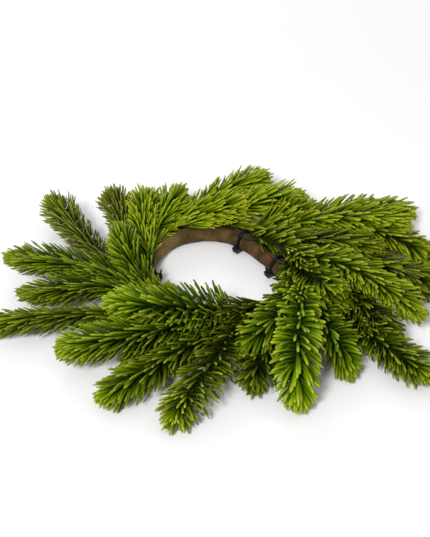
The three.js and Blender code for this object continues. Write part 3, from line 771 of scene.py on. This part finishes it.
# Needles that would lie in the tie or the ring, or reach over the hole from its back, are left off.
# The last spot tested is the needle's tip.
def spoiledNeedles(tree, put, root, facing, reach):
    line = addNode(tree, "GeometryNodeObjectInfo", {0: put["Ring line"]}).outputs["Geometry"]
    fromTie = calc(tree, "ABSOLUTE", minus(tree, root["at"], put["Tie place"]))
    spoiled = calc(tree, "LESS_THAN", fromTie, put["Tie room"])
    for part in needle["ringTests"]:
        spot = scaled(tree, facing, times(tree, reach, part))
        spot = vectorCalc(tree, "ADD", root["place"], spot)
        values = {0: line, "Sample Position": spot}
        near = addNode(tree, "GeometryNodeProximity", values, target_element="EDGES").outputs
        blocked = calc(tree, "LESS_THAN", near["Distance"], put["Ring room"])
        spoiled = calc(tree, "MAXIMUM", spoiled, blocked)
    fromHole = vectorCalc(tree, "SUBTRACT", spot, put["Hole centre"])
    rimFromHole = vectorCalc(tree, "SUBTRACT", near["Position"], put["Hole centre"])
    flat = (1.0, 1.0, 0.0)
    spotOut = vectorCalc(tree, "LENGTH", vectorCalc(tree, "MULTIPLY", fromHole, flat))
    rimOut = vectorCalc(tree, "LENGTH", vectorCalc(tree, "MULTIPLY", rimFromHole, flat))
    overRim = calc(tree, "LESS_THAN", spotOut, plus(tree, rimOut, put["Rim room"]))
    backward = addNode(tree, "ShaderNodeSeparateXYZ", {0: fromHole}).outputs[1]
    behind = calc(tree, "GREATER_THAN", backward, put["Rim start"])
    return calc(tree, "MAXIMUM", spoiled, times(tree, overRim, behind))


def needleBend(tree, put, root, side, size):  # how far its tip is drawn along the stem, aside and down
    spread = vary(tree, put, times(tree, put["Curl"], put["Curl spread"]), "curl")
    curl = times(tree, plus(tree, put["Curl"], spread), size)
    curl = times(tree, curl, blend(tree, put["Foot curl"], 1.0, root["fromFoot"]))
    aside = scaled(tree, side, vary(tree, put, put["Droop"], "aside"))
    bend = vectorCalc(tree, "ADD", scaled(tree, root["along"], curl), aside)
    down = minus(tree, vary(tree, put, put["Droop"], "down"), put["Droop"])
    return vectorCalc(tree, "ADD", bend, fromNode(tree, "ShaderNodeCombineXYZ", {2: down}))


def markNeedles(tree, put, root, facing, bend):  # each needle's own bend, tone and hue travel with it; its tone holds painted light and shade
    # the head gets fresher and lighter needles, partly painted light, and the foot painted shade; the dust
    # thins towards the head
    headward = minus(tree, root["share"], needle["freshFrom"])
    headward = times(tree, headward, put["Head fresh and lit"])
    # painted light on needles facing up, painted shade on those facing down
    upward = times(tree, heightOf(tree, facing), put["Up painted light"])
    lighter = plus(tree, upward, vary(tree, put, put["Tone spread"], "tone"))
    tone = plus(tree, plus(tree, put["Fresh and lit"], headward), lighter)
    dust = minus(tree, put["Dust"], times(tree, headward, put["Dust"]))
    marks = {
        "tone": tone, "dust": plus(tree, dust, vary(tree, put, needle["dustSpread"], "dust")),
        "rust": plus(tree, 0.5, vary(tree, put, 0.5, "rust")),  # from 0 to 1
        "hue": plus(tree, put["Hue"], vary(tree, put, put["Hue spread"], "hue")), "bend": bend,
    }
    points = root["points"]
    for label, value in marks.items():
        kind = "FLOAT_VECTOR" if label == "bend" else "FLOAT"
        values = {0: points, "Name": label, "Value": value}
        points = fromNode(tree, "GeometryNodeStoreNamedAttribute", values, data_type=kind, domain="POINT")
    return points


def needleCopies(tree, put, root, points, facing, size, spoiled):  # the one needle, turned and sized
    axes = {0: facing, 1: root["along"]}
    turned = fromNode(tree, "FunctionNodeAxesToRotation", axes, primary_axis="Z", secondary_axis="X")
    thick = plus(tree, 1.0, vary(tree, put, needle["thickSpread"], "thick"))
    thick = times(tree, put["Thick"], thick)
    copies = fromNode(tree, "GeometryNodeInstanceOnPoints", {
        "Points": points, "Selection": minus(tree, 1.0, spoiled), "Rotation": turned,
        "Instance": addNode(tree, "GeometryNodeObjectInfo", {0: put["Needle"]}).outputs["Geometry"],
        "Scale": fromNode(tree, "ShaderNodeCombineXYZ", {0: thick, 1: thick, 2: size}),
    })
    return fromNode(tree, "GeometryNodeRealizeInstances", {0: copies})


def coated(tree, geometry, material):
    smooth = fromNode(tree, "GeometryNodeSetShadeSmooth", {0: geometry})
    return fromNode(tree, "GeometryNodeSetMaterial", {0: smooth, "Material": material})


def bentNeedles(tree, put, needles):  # the bend grows towards the tip, and stops at the floor
    along = fromNode(tree, "GeometryNodeInputNamedAttribute", {"Name": "along"}, data_type="FLOAT")
    bend = fromNode(tree, "GeometryNodeInputNamedAttribute", {"Name": "bend"}, data_type="FLOAT_VECTOR")
    grown = scaled(tree, bend, calc(tree, "POWER", along, needle["bendPower"]))
    needles = fromNode(tree, "GeometryNodeSetPosition", {0: needles, "Offset": grown})
    lifted = keptAbove(tree, fromNode(tree, "GeometryNodeInputPosition"), put["Floor"])
    needles = fromNode(tree, "GeometryNodeSetPosition", {0: needles, "Position": lifted})
    needles = fromNode(tree, "GeometryNodeRemoveAttribute", {0: needles, "Name": "bend"})
    return coated(tree, needles, put["Needle green"])


def stemRod(tree, put, spine, whole):  # it tapers at its tip, and greens where its needles begin
    place = addNode(tree, "GeometryNodeSplineParameter").outputs["Length"]
    fromTip = calc(tree, "DIVIDE", minus(tree, whole, place), put["Tip reach"])
    radius = blend(tree, put["Tip radius"], put["Stem radius"], calc(tree, "MINIMUM", fromTip, 1.0))
    leafiness = minus(tree, place, put["Bare length"])
    leafiness = calc(tree, "DIVIDE", leafiness, stem["greening"] * mm)
    values = {0: spine, "Name": "leafiness", "Value": leafiness}
    line = fromNode(tree, "GeometryNodeStoreNamedAttribute", values, data_type="FLOAT", domain="POINT")
    circle = {"Resolution": stem["sides"], "Radius": 1.0}
    section = fromNode(tree, "GeometryNodeCurvePrimitiveCircle", circle)
    swept = {"Curve": line, "Profile Curve": section, "Scale": radius, "Fill Caps": True}
    return coated(tree, fromNode(tree, "GeometryNodeCurveToMesh", swept), put["Stem brown"])


def sprigTree():
    tree = bpy.data.node_groups.new("needleSprig", "GeometryNodeTree")
    ids = {}
    for name in (*askedKinds, *askedNumbers):
        kind = "NodeSocket" + askedKinds.get(name, "Float")
        ids[name] = tree.interface.new_socket(name, in_out="INPUT", socket_type=kind).identifier
    tree.interface.new_socket("Sprig", in_out="OUTPUT", socket_type="NodeSocketGeometry")
    put = tree.nodes.new("NodeGroupInput").outputs
    out = tree.nodes.new("NodeGroupOutput")

    spine = fromNode(tree, "GeometryNodeMeshToCurve", {0: put["Spine"]})
    whole = fromNode(tree, "GeometryNodeCurveLength", {0: spine})
    root = needleRoots(tree, put, spine, whole)
    side = vectorCalc(tree, "CROSS_PRODUCT", root["along"], (0, 0, 1))
    side = vectorCalc(tree, "NORMALIZE", side)
    turn = needleTurn(tree, put, root)
    size = needleSize(tree, put, root, turn)
    reach = times(tree, size, put["Needle length"])
    facing = offFloor(tree, put, root, needleFacing(tree, put, root, turn, side), reach)
    spoiled = spoiledNeedles(tree, put, root, facing, reach)
    points = markNeedles(tree, put, root, facing, needleBend(tree, put, root, side, size))
    needles = bentNeedles(tree, put, needleCopies(tree, put, root, points, facing, size, spoiled))
    rod = stemRod(tree, put, spine, whole)

    joined = addNode(tree, "GeometryNodeJoinGeometry")
    tree.links.new(needles, joined.inputs[0])
    tree.links.new(rod, joined.inputs[0])
    tree.links.new(joined.outputs[0], out.inputs[0])
    return tree, ids


def growSprig(name, sprig, seed):  # the node tree runs on its spine, and leaves a plain mesh
    path = spineOf(sprig)
    leafy = marksOf(path)[-1] - sprig["leafFrom"]
    wild, curl = sprig["wild"], sprig["curl"]
    lengths = {  # in millimetres
        "Bare length": sprig["leafFrom"], "Needle length": needle["length"] * sprig["long"],
        "Curl": needle["curl"] * curl, "Droop": needle["droop"] * wild,
        "Tip reach": needle["tipReach"] * sprig["taper"],
        "Floor": needle["floor"], "Ring room": needle["ringRoom"], "Rim room": sprig["rimRoom"],
        "Rim start": needle["rimStart"], "Tie place": sprig["before"] + needle["tieAhead"],
        "Tie room": needle["tieRoom"], "Stem radius": stem["leafyRadius"], "Tip radius": stem["tipRadius"],
    }
    angles = {  # in degrees
        "Turn": needle["turn"], "Turn spread": needle["turnSpread"] * wild,
        "Lean": sprig["lean"] + needle["leanMore"] * curl, "Lean spread": needle["leanSpread"] * wild,
        "Skew": sprig["skew"],
    }
    values = {
        "Needle": oneNeedle, "Ring line": ringLine, "Needle green": needleGreen, "Stem brown": stemBrown,
        "Hole centre": tuple(placed(holeCentre)), "Seed": seed * needle["seedStep"],
        "Needles": round(leafy * needle["perMillimetre"] * sprig["dense"]), "Crowding": needle["crowding"],
        "Length spread": needle["lengthSpread"], "Curl spread": needle["curlSpread"] * wild,
        "Thick": sprig["thick"], "Short side": sprig["shortSide"], "Foot length": sprig["footLength"],
        "Foot lean": sprig["footLean"], "Foot curl": sprig["footCurl"], "Tip lean": needle["tipLean"],
        "Tip length": needle["tipLength"], "Flatten": needle["flatten"], "Crown lean": sprig["crown"],
        "Siding": needle["siding"], "Fresh and lit": sprig["freshAndLit"], "Head fresh and lit": sprig["headFreshAndLit"],
        "Up painted light": needle["upPaintedLight"], "Tone spread": needle["toneSpread"], "Dust": sprig["dust"],
        "Hue": sprig["hue"] / wholeTurn, "Hue spread": needle["hueSpread"] / wholeTurn,
    }
    values.update({label: value * mm for label, value in lengths.items()})
    values.update({label: math.radians(value) for label, value in angles.items()})
    links = [(i, i + 1) for i in range(len(path) - 1)]
    spine = newPiece(name + "_spine", meshFrom(name, [placed(p) for p in path], links, []))
    growth = spine.modifiers.new("growth", "NODES")
    growth.node_group = sprigGrowth
    for label, value in values.items():
        growth[growthIds[label]] = value
    view = bpy.context.evaluated_depsgraph_get()
    grown = spine.evaluated_get(view)
    mesh = bpy.data.meshes.new_from_object(grown, preserve_all_data_layers=True, depsgraph=view)
    bpy.data.objects.remove(spine)
    mesh.name = name
    return newPiece(name, mesh)


needleGreen, stemBrown = needleFinish(), stemFinish()
oneNeedle = newPiece("one_needle", needleMesh())
ringSpots = [placed(p) for p in ringPath[:-1:needle["ringLineStep"]]]
ringLinks = [(i, (i + 1) % len(ringSpots)) for i in range(len(ringSpots))]
ringLine = newPiece("ring_line", meshFrom("ringLine", ringSpots, ringLinks, []))
sprigGrowth, growthIds = sprigTree()
triangles = 0
for number, (name, sprig) in enumerate(sprigs.items(), 1):
    foliage = growSprig("foliage_%02d" % number, sprig, number)
    triangles += sum(len(face.vertices) - 2 for face in foliage.data.polygons)
    finishPiece(foliage, name)
bpy.data.objects.remove(oneNeedle)
bpy.data.objects.remove(ringLine)
print("sprigs grown,", triangles, "triangles")


# Stage, in metres: a pale floor, soft light and the photograph's viewpoint. The lens is in millimetres.
stage = dict(
    floorSize=6.0, floorColour=(0.93, 0.93, 0.94), floorRoughness=0.9, surround=0.50,
    frontPower=40.0, frontSize=0.5, frontFrom=(-0.6, -1.5, 1.55),
    backPower=12.0, backSize=0.8, backFrom=(-0.4, 1.8, 1.0),
)
camera = dict(elevation=38, distance=0.9, lens=93.6, sensor=36, pictureWidth=430, shiftPixels=(-4.5, 21.5))


def layFloor():
    half = stage["floorSize"] / 2
    corners = [(-half, -half, 0), (half, -half, 0), (half, half, 0), (-half, half, 0)]
    floor = newPiece("floor", meshFrom("floor", corners, [], [(0, 1, 2, 3)]))
    paper = bpy.data.materials.new("pale floor")
    paper.use_nodes = True
    shader = paper.node_tree.nodes["Principled BSDF"].inputs
    shader["Base Color"].default_value = (*stage["floorColour"], 1)
    shader["Roughness"].default_value = stage["floorRoughness"]
    floor.data.materials.append(paper)


def softLight(name, power, size, spot):
    light = bpy.data.lights.new(name, "AREA")
    light.energy, light.size = power, size
    lamp = newPiece(name, light)
    lamp.location = spot
    lamp.rotation_euler = (-Vector(spot)).to_track_quat("-Z", "Y").to_euler()


def lightStage():
    world = bpy.data.worlds.new("soft surround")
    world.use_nodes = True
    surround = world.node_tree.nodes["Background"].inputs
    surround["Color"].default_value = (1, 1, 1, 1)
    surround["Strength"].default_value = stage["surround"]
    bpy.context.scene.world = world
    softLight("front light", stage["frontPower"], stage["frontSize"], stage["frontFrom"])
    softLight("back light", stage["backPower"], stage["backSize"], stage["backFrom"])


def setCamera():
    eye = bpy.data.cameras.new("viewpoint")
    eye.sensor_fit = "HORIZONTAL"
    eye.sensor_width = camera["sensor"]
    eye.lens = camera["lens"]
    eye.shift_x, eye.shift_y = (pixels / camera["pictureWidth"] for pixels in camera["shiftPixels"])
    viewpoint = newPiece("viewpoint", eye)
    tilt = math.radians(camera["elevation"])
    viewpoint.location = Vector((0, -math.cos(tilt), math.sin(tilt))) * camera["distance"] + shift
    viewpoint.rotation_euler = (math.pi / 2 - tilt, 0, 0)
    bpy.context.scene.camera = viewpoint
    bpy.context.scene.view_settings.view_transform = "Standard"


layFloor()
lightStage()
setCamera()
print("stage set")
